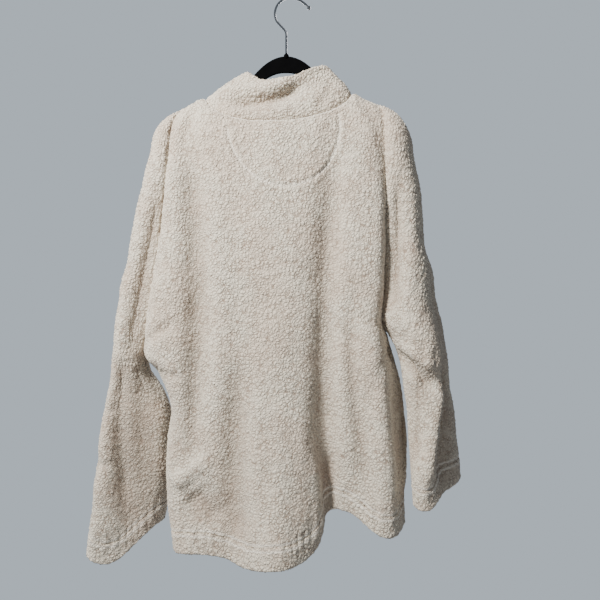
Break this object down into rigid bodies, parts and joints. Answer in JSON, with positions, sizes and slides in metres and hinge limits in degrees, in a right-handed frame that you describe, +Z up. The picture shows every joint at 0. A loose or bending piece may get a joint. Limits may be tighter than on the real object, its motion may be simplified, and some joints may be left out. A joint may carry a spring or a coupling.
{
  "type": "sherpa fleece pullover on a velvet clothes hanger",
  "caption": "Oversized sherpa fleece pullover with a funnel collar, dropped shoulders and side slits, hanging on a slim hanger.",
  "frame": {"origin": "inside top of the hanger's hook, where the rail bears", "axes": "+Z up, -Y out of the garment's back, +X towards the wearer's right"},
  "size_m": [0.6538, 0.1586, 0.9809],
  "materials": {
    "fleece": "cream sherpa fleece, matte curled pile",
    "velvet": "black flocked velvet on a moulded plastic hanger",
    "hook_chrome": "polished chromed wire"
  },
  "bodies": {
    "root": {"back": "fleece", "front": "fleece", "sleeve_left": "fleece", "sleeve_right": "fleece", "collar": "fleece", "hem_back": "fleece", "hem_front": "fleece", "cuff_left": "fleece", "cuff_right": "fleece", "hanger_body": "velvet", "hanger_hook": "hook_chrome"}
  },
  "joints": []
}
